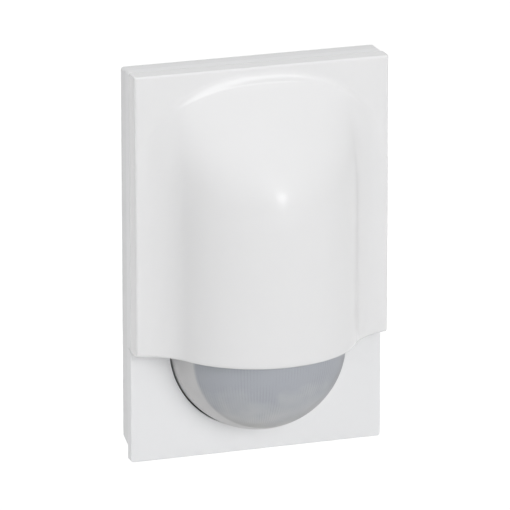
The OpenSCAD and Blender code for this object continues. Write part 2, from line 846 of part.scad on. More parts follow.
module varistor() {
    color("teal") translate([varistor_at[0], -board_front - varistor_r, varistor_at[1]])
        rotate([0, 90, 0]) cylinder(r = varistor_r, h = varistor_t);
}

// Glass tube with metal end caps lying along the board's lower edge
module fuse() {
    color("lightgray") translate([film_x, -board_front - fuse_cap_r, fuse_z]) rotate([0, 90, 0]) {
        cylinder(r = fuse_r, h = fuse_l);
        for (x = [0, fuse_l - fuse_cap_l]) translate([0, 0, x]) cylinder(r = fuse_cap_r, h = fuse_cap_l);
    }
}

module rectifier_diodes() {
    z = board_bottom + diode_rise;
    color("black") for (i = [0 : diode_n - 1]) {
        x = (i - (diode_n - 1) / 2) * diode_pitch;
        block([x - diode[0] / 2, x + diode[0] / 2], [board_front, board_front + diode[1]],
            [z - diode[2] / 2, z + diode[2] / 2]);
    }
}

module controller_chip() {
    low = relay_top + row_gap;
    color("black") block([-chip[0] / 2, chip[0] / 2], [board_front, board_front + chip[1]],
        [low, low + chip[2]]);
}

shaft_seat = board_front + 1.6;

module trimmers() {
    w = trimmer_w / 2;
    color("steelblue") for (x = knob_xs) difference() {
        block([x - w, x + w], [board_front, board_front + trimmer_h], [knob_z - w, knob_z + w]);
        rod([x, knob_z], shaft_r + fit, shaft_seat, board_front + trimmer_h + cut);
    }
}

// Outer or inner form of the cover, set in by a wall
module cover_form(inset, back) {
    x = cover_w / 2 - inset;
    low = inset > 0 ? shelf_top : lens_top;
    intersection() {
        side_prism([-x, x], [
            [back, low],
            [panel_depth - inset, low],
            [panel_depth - inset, lens_top + panel_h - inset / 2],
            [cover_top_depth - inset / 2, cover_top - inset],
            [back, cover_top - inset]
        ]);
        translate([0, -bulge_axis, lens_top - cut])
            cylinder(r = bulge_r - hood_wall - cover_gap - inset, h = cover_top - lens_top + 2 * cut);
    }
}

module inner_cover() {
    color("gainsboro") difference() {
        union() {
            cover_form(0, frame_depth);
            intersection() {
                translate([0, -frame_depth, lens_top]) cylinder(r = lens_r, h = shelf_t);
                block([-lens_r, lens_r], [frame_depth, frame_depth + lens_r + cut], [lens_top, shelf_top]);
            }
            for (p = cover_places) {
                rod(p, ear_r, frame_depth, ear_depth);
                block([min(p[0], sign(p[0]) * cover_w / 2), max(p[0], sign(p[0]) * cover_w / 2)]
                    + [-sink, sink], [frame_depth, ear_depth], [p[1] - ear_r, p[1] + ear_r]);
            }
        }
        cover_form(cover_wall, frame_depth - cut);
        for (x = knob_xs)
            rod([x, knob_z], knob_r + knob_clear, panel_depth - cover_wall - cut, panel_depth + cut);
        for (p = cover_places) rod(p, mini_r + screw_clear, frame_depth - cut, ear_depth + cut);
    }
}

module cover_screws() {
    color("silver") for (p = cover_places)
        screw(p, ear_depth, mini_r, ear_depth - base_depth - cover_bite, mini_head_r, mini_head_h);
}

// Slotted head in the panel, on a long shaft that sits in the trimmer
module knob(x) {
    top = panel_depth + knob_proud;
    slot = [0.5, knob_r * 0.75, 0.9];
    difference() {
        union() {
            rod([x, knob_z], shaft_r, shaft_seat + screw_clear, top - knob_head_h + sink);
            rod([x, knob_z], knob_r, top - knob_head_h, top);
        }
        block([x - slot[0], x + slot[0]], [top - slot[2], top + cut], [knob_z - slot[1], knob_z + slot[1]]);
    }
}

module time_knob() {
    color("tomato") knob(knob_xs[0]);
}

module lux_knob() {
    color("tomato") knob(knob_xs[1]);
}

module range_knob() {
    color("tomato") knob(knob_xs[2]);
}

// The hood's shell is a stack of rows, each a path across the hood from its left to its right back edge
hood_steps = 46;
fillet_steps = 4;
crown_rows = 22;
inner_r = 1.2;
row_power = 1.6;
row_drops = [
    for (i = [0 : fillet_steps]) edge_r * (1 - cos(90 * i / fillet_steps)),
    for (i = [1 : crown_rows]) edge_r + (crown_end - edge_r) * pow(i / crown_rows, row_power),
    hood_h
];

// How far an edge of radius r is rounded back at a distance s from the edge
function rounding(s, r) = s < r ? r - sqrt(r * r - pow(r - s, 2)) : 0;

// One row of points: a side, a rounded corner, the front, and the same on the right
function hood_row(t, side, face, r, back, z, step_back) =
    let (left = [
        [-side, back],
        for (i = [0 : fillet_steps - 1])
            let (a = 90 * i / fillet_steps)
            [-side + r * (1 - cos(a)), face + swell(side - r, t) - r * (1 - sin(a)) - step_back]
    ])
    let (front = [
        for (i = [0 : hood_steps])
            let (x = (side - r) * (2 * i / hood_steps - 1))
            [x, face + swell(x, t) - step_back]
    ])
    let (right = [for (i = [len(left) - 1 : -1 : 0]) [-left[i][0], left[i][1]]])
    [for (p = concat(left, front, right)) [p[0], -p[1], z]];

module hood_shell() {
    back = frame_depth + hood_seam;
    rows = len(row_drops);
    n = hood_steps + 1 + 2 * (fillet_steps + 1);
    inner_scale = (hood_h - hood_wall) / hood_h;
    outer = [
        for (t = row_drops)
            each hood_row(t, half_w, margin_depth, edge_r, back, top_z - t, rounding(t, edge_r))
    ];
    inner = [
        for (t = row_drops)
            let (u = hood_wall + t * inner_scale)
            each hood_row(u, half_w - hood_wall, margin_depth - hood_wall, inner_r, back, top_z - u, 0)
    ];
    m = rows * n;
    last = (rows - 1) * n;
    polyhedron(
        concat(outer, inner),
        concat(
            [for (j = [0 : rows - 2], i = [0 : n - 2]) each [
                [j * n + i, j * n + i + 1, (j + 1) * n + i],
                [j * n + i + 1, (j + 1) * n + i + 1, (j + 1) * n + i]
            ]],
            [for (j = [0 : rows - 2], i = [0 : n - 2]) each [
                [m + j * n + i, m + (j + 1) * n + i, m + j * n + i + 1],
                [m + j * n + i + 1, m + (j + 1) * n + i, m + (j + 1) * n + i + 1]
            ]],
            [for (i = [0 : n - 3]) [n - 1, i + 1, i]],
            [for (i = [0 : n - 3]) [m + n - 1, m + i, m + i + 1]],
            [for (i = [0 : n - 2]) each [
                [last + i, last + i + 1, m + last + i],
                [last + i + 1, m + last + i + 1, m + last + i]
            ]],
            [for (j = [0 : rows - 2]) each [
                [j * n, (j + 1) * n, m + j * n],
                [(j + 1) * n, m + (j + 1) * n, m + j * n],
                [j * n + n - 1, m + j * n + n - 1, (j + 1) * n + n - 1],
                [(j + 1) * n + n - 1, m + j * n + n - 1, m + (j + 1) * n + n - 1]
            ]],
            [[0, m, n - 1], [n - 1, m, m + n - 1]]
        )
    );
}

// Retaining pegs with tapered tips, each braced to the hood's side wall
module hood_pegs() {
    peg_end = frame_depth - peg_grip;
    tip = 0.8;
    web = 0.6;
    brace_depth = frame_depth + 1.2;
    brace_t = 1;
    skin = hood_wall / 2;
    for (p = peg_places) {
        root = margin_depth + swell(p[0], top_z - p[1]) - skin;
        side = sign(p[0]);
        wall_x = side * (half_w - skin);
        z = [p[1] - web, p[1] + web];
        hull() {
            rod(p, peg_r, peg_end + tip, root, $fn = 32);
            rod(p, peg_r - tip / 2, peg_end, root, $fn = 32);
        }
        hull() {
            block([p[0] - web, p[0] + web], [margin_depth - hood_wall - brace_t, root], z);
            block([wall_x - brace_t / 2, wall_x + brace_t / 2], [brace_depth, margin_depth - skin], z);
        }
    }
}

module hood() {
    color("white") {
        hood_shell();
        hood_pegs();
    }
}

wall_base();
base_gasket();
cable_grommet();
terminal_block();
terminal_clamps();
terminal_screws();
front_frame();
frame_screws();
lens_dome();
lens_seal();
sensor_carrier();
carrier_screws();
sensor_board();
infrared_sensors();
sensor_windows();
light_sensor();
status_led();
board_header();
main_board();
board_screws();
contact_pins();
relay_base();
relay_cover();
relay_coil();
relay_yoke();
relay_armature();
film_capacitor();
electrolytic_capacitor();
varistor();
fuse();
rectifier_diodes();
controller_chip();
trimmers();
inner_cover();
cover_screws();
time_knob();
lux_knob();
range_knob();
hood();
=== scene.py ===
"""Looks of a wall-mounted motion sensor light switch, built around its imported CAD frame."""
import json
import math

import bmesh
import bpy
from mathutils import Matrix, Vector


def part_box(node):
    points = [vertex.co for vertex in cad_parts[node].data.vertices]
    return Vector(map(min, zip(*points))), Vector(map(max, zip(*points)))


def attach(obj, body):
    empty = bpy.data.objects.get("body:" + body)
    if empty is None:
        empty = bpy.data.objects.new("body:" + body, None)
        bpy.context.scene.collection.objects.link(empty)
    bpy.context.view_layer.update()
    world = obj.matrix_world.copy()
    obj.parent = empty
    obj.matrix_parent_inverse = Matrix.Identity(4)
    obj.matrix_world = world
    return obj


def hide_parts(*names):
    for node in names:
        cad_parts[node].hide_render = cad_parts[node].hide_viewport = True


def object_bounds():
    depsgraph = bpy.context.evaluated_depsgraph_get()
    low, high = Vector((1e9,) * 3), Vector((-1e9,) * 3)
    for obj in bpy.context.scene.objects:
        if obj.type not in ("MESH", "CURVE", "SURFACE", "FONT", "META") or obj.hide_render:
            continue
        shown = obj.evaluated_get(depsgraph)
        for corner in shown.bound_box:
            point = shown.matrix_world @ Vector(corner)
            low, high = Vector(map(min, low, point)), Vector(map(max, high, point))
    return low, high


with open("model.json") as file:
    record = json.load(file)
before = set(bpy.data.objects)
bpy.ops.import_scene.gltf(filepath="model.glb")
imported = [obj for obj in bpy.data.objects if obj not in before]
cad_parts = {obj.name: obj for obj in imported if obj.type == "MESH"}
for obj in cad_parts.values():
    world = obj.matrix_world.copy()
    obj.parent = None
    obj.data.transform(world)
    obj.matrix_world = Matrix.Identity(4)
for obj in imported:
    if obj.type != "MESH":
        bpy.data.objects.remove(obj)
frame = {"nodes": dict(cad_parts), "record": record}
cad_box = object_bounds()

# Sizes are in millimetres, except for the lamps, which are in metres, and angles are in degrees.
# A depth is a distance from the wall, so a point at depth d has y = -d.
MM = 0.001


def box_mm(node):
    """Lowest and highest corner of a CAD node, in millimetres."""
    low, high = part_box(node)
    return low / MM, high / MM


hood_low, hood_high = box_mm("hood")
lens_low, lens_high = box_mm("lens_dome")

HALF_W = hood_high.x
TOP_Z = hood_high.z
LENS_Z = hood_low.z
HOOD_H = TOP_Z - LENS_Z
HOOD_DEPTH = -hood_low.y
FRAME_DEPTH = -box_mm("inner_cover")[1].y
BASE_DEPTH = -lens_high.y
LENS_R = -lens_low.y - FRAME_DEPTH
LENS_TOP = lens_high.z
FLANGE_R = lens_high.x

# Hood, as in the CAD model
HOOD_RISE = 5.7
HOOD_WALL = 1.8
HOOD_SEAM = 0.05
BULGE_R = 31.5
BLEND_R = 18.5
ARCH_DROP = 4.2
CROWN_H = 42.0
COVE_H = 2.6
COVE_SHARE = 0.12
CROWN_STRAIGHT = 0.4
CROWN_EASE = 1.6
ARCH_SOFT = 0.012
EDGE_R = 0.8
LOWER_EDGE_R = 0.9
LOWER_BACK_R = 1.3
INNER_R = 1.2
ARCH_POWER = 2.35
MARGIN_DEPTH = FRAME_DEPTH + HOOD_RISE
BULGE = HOOD_DEPTH - MARGIN_DEPTH
FOOT_X = math.sqrt((BULGE_R + BLEND_R) ** 2 - (BULGE_R - BULGE + BLEND_R) ** 2)
TANGENT_X = FOOT_X * BULGE_R / (BULGE_R + BLEND_R)
CROWN_END = ARCH_DROP + CROWN_H

# Retaining pegs of the hood, as in the CAD model
PEG_R = 1.7
PEG_INSET = 7.0
PEG_DROP = 7.0
PEG_RISE = 6.3
PEG_GRIP = 2.6
PEG_TIP = 0.8
PEG_LEAD = 0.15

# Webs between the pegs and the hood's side walls
BRACE_WEB = 0.6
BRACE_REACH = 1.0
BRACE_CLEAR = 1.2
BRACE_FOOT = 0.5

# Lens
LENS_WALL = 1.4
FLANGE_T = 1.0
RIM_H = 9.4
RIM_STEP = 0.45
RIBS = 88
RIB_STEPS = 4
RIB_DEPTH = 0.14
LENS_ROWS = 64

# Colours of the lens: a plain rim as high as the photo shows it, whose paler colour is painted light; a
# paler foot, which is painted light, under a darker bluish top, which is painted shade under the hood
# and of the dark inside; and the clear shares
RIM_SEEN_H = 12.4
RIM_FADE = (1.0, 0.2)
INSIDE_FADE = 0.05
LIT_FOOT_DROP = (8.0, 24.0)
LIT_FOOT_WAVER = 4.0
DOME_CLEAR = 0.42
RIM_CLEAR = 0.1
RIB_CLEAR = 0.08

# Adjusters
KNOBS = ("time_knob", "lux_knob", "range_knob")
KNOB_PROUD = 0.5
DIAL_MARKS = 11
DIAL_SWING = 135.0
DIAL_R = (3.85, 4.4)
DIAL_W = 0.22
LONG_EVERY = 5
SHORTER_BY = 0.2
POINTER_R = (2.65, 3.1)
POINTER_W = 0.5
MARK_T = 0.04
MARK_SINK = 0.1

# Reach of the closed joints between base, frame and hood, where edges stay sharp, and two heights just
# behind the hood's lower edge, where the frame is cut so that the rounding of its edges runs out there
SEAM_REACH = 0.3
RUN_OUT = (LENS_Z + 0.3, LENS_Z + 0.9)

# Meshes: points within the weld are joined, and so are faces within the flat angle. Edges over the
# sharp angle are rounded, edges over a crease angle are shaded as creases, and the flat weight gives
# large faces the say in the shading of the edges round them.
WELD = 0.0005
FLAT_ANGLE = 0.3
SHARP_ANGLE = 40
CREASE_ANGLE = 35
HOOD_CREASE_ANGLE = 50
LENS_CREASE_ANGLE = 40
FLAT_WEIGHT = 80

SLOT_OF = {s["node"]: s["material_slot"] for s in frame["record"]["subparts"]}
BODY_OF = {n: b for b, nodes in frame["record"]["behaviour"]["bodies"].items() for n in nodes}


# Meshes

def add_object(name, data):
    """New object in the scene."""
    thing = bpy.data.objects.new(name, data)
    bpy.context.scene.collection.objects.link(thing)
    return thing


def make_object(name, points, faces, crease_angle=CREASE_ANGLE):
    """Mesh object from points in millimetres, given as (x, depth, z)."""
    mesh = bpy.data.meshes.new(name)
    mesh.from_pydata([(x * MM, -d * MM, z * MM) for x, d, z in points], [], faces)
    tidy = bmesh.new()
    tidy.from_mesh(mesh)
    bmesh.ops.remove_doubles(tidy, verts=tidy.verts, dist=WELD * MM)
    bmesh.ops.recalc_face_normals(tidy, faces=tidy.faces)
    tidy.to_mesh(mesh)
    tidy.free()
    shade(mesh, crease_angle)
    return add_object(name, mesh)


def shade(mesh, angle):
    """Smooth shading, with a crease wherever faces meet at more than the angle in degrees."""
    mesh.polygons.foreach_set("use_smooth", [True] * len(mesh.polygons))
    mesh.set_sharp_from_angle(angle=math.radians(angle))


def level_normals(piece):
    """Flat faces keep flat shading up to their rounded edges."""
    weighted = piece.modifiers.new("level_normals", "WEIGHTED_NORMAL")
    weighted.keep_sharp = True
    weighted.weight = FLAT_WEIGHT


def grid_faces(rows, columns, start=0, flip=False):
    """Quads over rows of points that are stored one row after another."""
    faces = []
    for j in range(rows - 1):
        for i in range(columns - 1):
            a = start + j * columns + i
            quad = (a, a + 1, a + columns + 1, a + columns)
            faces.append(quad[::-1] if flip else quad)
    return faces


def strip(first, second):
    """Quads between two rows of point numbers."""
    return [(first[i], first[i + 1], second[i + 1], second[i]) for i in range(len(first) - 1)]


def dress(node, bevel, segments=3):
    """Copy of a CAD node with rounded edges, which stands for the node."""
    mesh = frame["nodes"][node].data.copy()
    mesh.name = f"{node}_finish"
    tidy = bmesh.new()
    tidy.from_mesh(mesh)
    bmesh.ops.remove_doubles(tidy, verts=tidy.verts, dist=WELD * MM)
    for point, direction in cuts(node):
        everything = tidy.verts[:] + tidy.edges[:] + tidy.faces[:]
        cut = bmesh.ops.bisect_plane(tidy, geom=everything, plane_co=point * MM, plane_no=direction)
        for part in cut["geom_cut"]:
            if isinstance(part, bmesh.types.BMEdge):
                part.seam = True
    bmesh.ops.dissolve_limit(
        tidy, angle_limit=math.radians(FLAT_ANGLE), verts=tidy.verts, edges=tidy.edges,
        delimit={"NORMAL", "SEAM"},
    )
    weight = tidy.edges.layers.float.new("bevel_weight_edge")
    for edge in tidy.edges:
        middle = (edge.verts[0].co + edge.verts[1].co) / 2 / MM
        if edge.calc_face_angle(0.0) > math.radians(SHARP_ANGLE) and not on_seam(node, middle):
            edge[weight] = 1.0
    tidy.to_mesh(mesh)
    tidy.free()
    shade(mesh, CREASES.get(node, CREASE_ANGLE))
    piece = add_object(mesh.name, mesh)
    rounding = piece.modifiers.new("rounded_edges", "BEVEL")
    rounding.width = bevel * MM
    rounding.segments = segments
    rounding.limit_method = "WEIGHT"
    rounding.use_clamp_overlap = True
    level_normals(piece)
    place(piece, node)
    return piece


def cuts(node):
    """Points and directions of flat cuts, so that no visible front face has a hole in it."""
    if node == "front_frame":
        return [(Vector((0, 0, z)), (0, 0, 1)) for z in RUN_OUT]
    if node in KNOBS:
        low, high = box_mm(node)
        return [((low + high) / 2, (1, 0, 0))]
    return []


def on_seam(node, point):
    """Whether an edge of the base or the frame lies in a joint that closes up tight."""
    if node == "wall_base":
        return -point.y > BASE_DEPTH - SEAM_REACH
    if node == "front_frame":
        inner = math.hypot(point.x, point.z - LENS_Z) < FLANGE_R
        return inner or -point.y < FRAME_DEPTH - SEAM_REACH or point.z > LENS_Z
    return False


def place(piece, node):
    """The piece stands for a CAD node, on its body."""
    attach(piece, BODY_OF[node])
    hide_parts(node)


# Hood

def bell(x):
    """Height of the bulge above the flat margin well below its crown."""
    a = abs(x)
    if a < TANGENT_X:
        return BULGE - BULGE_R + math.sqrt(BULGE_R ** 2 - a * a)
    if a < FOOT_X:
        return BLEND_R - math.sqrt(BLEND_R ** 2 - (FOOT_X - a) ** 2)
    return 0.0


def arch(x):
    """Distance of the arch's edge from the upper edge."""
    s = min(1.0, abs(x) / FOOT_X)
    return ARCH_DROP + CROWN_H * (1 - (1 - s ** ARCH_POWER) ** (1 / ARCH_POWER))


def crown(s):
    """Share of the rise from the arch's edge, s = 0, to the crown's end, s = 1. It eases at the end."""
    slope = 1 / (CROWN_STRAIGHT + (1 - CROWN_STRAIGHT) / (CROWN_EASE + 1))
    if s < CROWN_STRAIGHT:
        return slope * s
    rest = max(0.0, 1 - (s - CROWN_STRAIGHT) / (1 - CROWN_STRAIGHT))
    return 1 - slope * (1 - CROWN_STRAIGHT) / (CROWN_EASE + 1) * rest ** (CROWN_EASE + 1)


def swell(x, t):
    """Height of the hood's surface above its flat margin, t below the upper edge."""
    below = t - arch(x)
    into = 1 + below / COVE_H
    if into < 0:
        return 0.0
    cove = COVE_SHARE * into ** 2
    rise = COVE_SHARE + (1 - COVE_SHARE) * crown(below / (CROWN_END - arch(x)))
    return bell(x) * (cove + rise - math.hypot(cove - rise, ARCH_SOFT * min(1.0, into))) / 2


def edge_drop(s, r):
    """How far an edge of radius r is rounded back at a distance s from the edge."""
    return r - math.sqrt(r * r - (r - s) ** 2) if s < r else 0.0


def hood_row(drop, side, face, r, shrink, columns, corner_steps=6):
    """Points across the hood: left wall, rounded corner, front, and the same on the right."""
    corner = [math.pi / 2 * i / corner_steps for i in range(corner_steps)]
    left = [(-side + r * (1 - math.cos(a)), face - r * (1 - math.sin(a))) for a in corner]
    front = [((side - r) * (2 * i / columns - 1), face) for i in range(columns + 1)]
    right = [(-x, d) for x, d in reversed(left)]
    row = []
    for x, d in left + front + right:
        t = shrink(drop(x))
        flat_x = max(r - side, min(side - r, x))
        row.append((x, d + swell(flat_x, t) - hood_edge(drop(x), shrink), TOP_Z - t))
    back = FRAME_DEPTH + HOOD_SEAM + edge_drop(HOOD_H - drop(side), LOWER_BACK_R)
    return [(-side, back, row[0][2])] + row + [(side, back, row[-1][2])]


def hood_edge(t, shrink):
    """How far the outer surface is rounded back near the upper and the lower edge."""
    if shrink(0.0) > 0:
        return 0.0
    return edge_drop(t, EDGE_R) + edge_drop(HOOD_H - t, LOWER_EDGE_R)


def hood_drops():
    """Distances of the hood's rows from the upper edge, which follow the arch until the crown ends."""
    upper_rows, crown_rows, lower_rows, fillet_rows = 34, 84, 12, 8
    upper_crowding, crown_crowding = 1.8, 1.5
    quarter = [math.pi / 2 * i / fillet_rows for i in range(fillet_rows + 1)]
    low_start = HOOD_H - LOWER_BACK_R
    drops = [lambda x, t=EDGE_R * (1 - math.cos(a)): t for a in quarter]
    for i in range(1, upper_rows + 1):
        share = 1 - (1 - i / upper_rows) ** upper_crowding
        drops.append(lambda x, f=share: EDGE_R + (arch(x) - EDGE_R) * f)
    for i in range(1, crown_rows + 1):
        share = (i / crown_rows) ** crown_crowding
        drops.append(lambda x, f=share: arch(x) + (CROWN_END - arch(x)) * f)
    for i in range(1, lower_rows + 1):
        drops.append(lambda x, f=i / lower_rows: CROWN_END + (low_start - CROWN_END) * f)
    drops += [lambda x, t=low_start + LOWER_BACK_R * math.sin(a): t for a in quarter[1:]]
    return drops


def hood_shell_mesh():
    columns = 180
    drops = hood_drops()
    outer, inner = [], []
    for drop in drops:
        outer += hood_row(drop, HALF_W, MARGIN_DEPTH, EDGE_R, lambda t: t, columns)
        inner += hood_row(
            drop, HALF_W - HOOD_WALL, MARGIN_DEPTH - HOOD_WALL, INNER_R,
            lambda t: HOOD_WALL + t * (HOOD_H - HOOD_WALL) / HOOD_H, columns,
        )
    rows = len(drops)
    n = len(outer) // rows
    m = rows * n
    first, last = list(range(n)), list(range((rows - 1) * n, rows * n))
    faces = grid_faces(rows, n) + grid_faces(rows, n, m, flip=True)
    faces += [tuple(first), tuple(m + i for i in first)]
    faces += strip(last, [m + i for i in last])
    for column in (0, n - 1):
        line = [j * n + column for j in range(rows)]
        faces += strip(line, [m + i for i in line])
    faces += strip([0, n - 1], [m, m + n - 1])
    return outer + inner, faces


def peg_mesh(x, z, sides=32):
    """Round peg with a tapered tip, sunk into the hood's wall."""
    end = FRAME_DEPTH - PEG_GRIP
    root = MARGIN_DEPTH + swell(x, TOP_Z - z) - HOOD_WALL / 2
    profile = [
        (0.0, end),
        (PEG_R - PEG_TIP / 2 - PEG_LEAD, end),
        (PEG_R - PEG_TIP / 2, end + PEG_LEAD),
        (PEG_R, end + PEG_TIP),
        (PEG_R, root),
        (0.0, root),
    ]
    points = []
    for r, d in profile:
        for i in range(sides + 1):
            a = 2 * math.pi * i / sides
            points.append((x + r * math.cos(a), d, z + r * math.sin(a)))
    return points, grid_faces(len(profile), sides + 1)


def brace_mesh(x, z):
    """Thin web between a peg and the hood's side wall."""
    side = math.copysign(1, x)
    skin = HOOD_WALL / 2
    wall_x = side * (HALF_W - skin)
    root = MARGIN_DEPTH + swell(x, TOP_Z - z) - skin
    outline = [
        (x, MARGIN_DEPTH - HOOD_WALL - BRACE_REACH),
        (x, root),
        (wall_x, MARGIN_DEPTH - skin),
        (wall_x, FRAME_DEPTH + BRACE_CLEAR),
        (wall_x - side * BRACE_FOOT, FRAME_DEPTH + BRACE_CLEAR),
    ]
    points = [(px, d, z + s) for s in (-BRACE_WEB, BRACE_WEB) for px, d in outline]
    n = len(outline)
    faces = [tuple(range(n)), tuple(range(2 * n - 1, n - 1, -1))]
    faces += [(i, (i + 1) % n, n + (i + 1) % n, n + i) for i in range(n)]
    return points, faces


def joined(*parts):
    """One list of points and one of faces from several."""
    points, faces = [], []
    for some_points, some_faces in parts:
        start = len(points)
        points += some_points
        faces += [tuple(start + i for i in face) for face in some_faces]
    return points, faces


def make_hood():
    peg_x = HALF_W - PEG_INSET
    places = [(x, z) for x in (-peg_x, peg_x) for z in (TOP_Z - PEG_DROP, LENS_Z + PEG_RISE)]
    parts = [hood_shell_mesh()]
    for x, z in places:
        parts += [peg_mesh(x, z), brace_mesh(x, z)]
    hood = make_object("hood_shell", *joined(*parts), crease_angle=HOOD_CREASE_ANGLE)
    level_normals(hood)
    place(hood, "hood")
    return hood


# Lens

def lens_skin(r, ribbed=False):
    """Rows from the dome's bottom to its top, each from the left neck round to the right one."""
    columns = RIBS * RIB_STEPS
    top_angle = math.acos(-(LENS_TOP - LENS_Z) / r)
    rows = []
    for j in range(LENS_ROWS + 1):
        a = top_angle * j / LENS_ROWS
        ring, z = r * math.sin(a), LENS_Z - r * math.cos(a)
        row = [(-ring, BASE_DEPTH, z)]
        for i in range(columns + 1):
            turn = math.pi * i / columns
            near = ring
            if ribbed and ring * math.sin(turn) > RIM_H:
                near += RIM_STEP - RIB_DEPTH * (i % RIB_STEPS) / RIB_STEPS
            row.append((-near * math.cos(turn), FRAME_DEPTH + near * math.sin(turn), z))
        row.append((ring, BASE_DEPTH, z))
        rows.append(row)
    return rows


def flange_mesh(sides=180):
    """Flat ring round the neck of the lens, cut off level with the top of the dome."""
    points = []
    for r in (LENS_R - LENS_WALL / 2, FLANGE_R):
        top = math.asin((LENS_TOP - LENS_Z) / r)
        for d in (BASE_DEPTH, BASE_DEPTH + FLANGE_T):
            for i in range(sides + 1):
                a = top - (math.pi + 2 * top) * i / sides
                points.append((r * math.cos(a), d, LENS_Z + r * math.sin(a)))
    n = sides + 1
    inner_back, inner_front, outer_back, outer_front = (list(range(k * n, k * n + n)) for k in range(4))
    faces = strip(inner_back, inner_front) + strip(inner_front, outer_front)
    faces += strip(outer_front, outer_back) + strip(outer_back, inner_back)
    faces += [(k, n + k, 3 * n + k, 2 * n + k) for k in (0, n - 1)]
    return points, faces


def make_lens():
    outer = lens_skin(LENS_R)
    inner = lens_skin(LENS_R - LENS_WALL, ribbed=True)
    n, rows = len(outer[0]), len(outer)
    points = [p for row in outer + inner for p in row]
    m = rows * n
    faces = grid_faces(rows, n) + grid_faces(rows, n, m, flip=True)
    top = list(range((rows - 1) * n, rows * n))
    faces += strip(top, [m + i for i in top])
    for column in (0, n - 1):
        line = [j * n + column for j in range(rows)]
        faces += strip(line, [m + i for i in line])
    parts = joined((points, faces), flange_mesh())
    lens = make_object("lens_dome_shell", *parts, crease_angle=LENS_CREASE_ANGLE)
    place(lens, "lens_dome")
    return lens


# Marks of the three adjusters

def bar_mesh(x, z, angle, inner_r, outer_r, width, depths):
    """Flat bar that points away from a knob's axis. Angle 0 is up, and positive is to the right."""
    out, across = (math.sin(angle), math.cos(angle)), (math.cos(angle), -math.sin(angle))
    points = []
    for d in depths:
        for r, side in ((inner_r, -1), (outer_r, -1), (outer_r, 1), (inner_r, 1)):
            aside = side * width / 2
            points.append((x + r * out[0] + aside * across[0], d, z + r * out[1] + aside * across[1]))
    faces = [(0, 1, 2, 3), (7, 6, 5, 4)] + [(i, (i + 1) % 4, 4 + (i + 1) % 4, 4 + i) for i in range(4)]
    return points, faces


def make_marks():
    """Dial marks on the inner cover, which ride the housing, and a pointer that rides each knob."""
    dial = []
    for knob in KNOBS:
        low, high = box_mm(knob)
        x, z, front = (low.x + high.x) / 2, (low.z + high.z) / 2, -low.y
        panel = front - KNOB_PROUD
        for i in range(DIAL_MARKS):
            angle = math.radians(DIAL_SWING * (2 * i / (DIAL_MARKS - 1) - 1))
            outer_r = DIAL_R[1] if i % LONG_EVERY == 0 else DIAL_R[1] - SHORTER_BY
            depths = panel - MARK_SINK, panel + MARK_T
            dial.append(bar_mesh(x, z, angle, DIAL_R[0], outer_r, DIAL_W, depths))
        pointer = bar_mesh(x, z, 0.0, *POINTER_R, POINTER_W, (front - MARK_SINK, front + MARK_T))
        mark = make_object(f"{knob}_pointer", *pointer)
        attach(mark, BODY_OF[knob])
        finish_piece(mark, "frame_white")
    marks = make_object("dial_marks", *joined(*dial))
    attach(marks, BODY_OF["inner_cover"])
    finish_piece(marks, "part_black")


# Materials

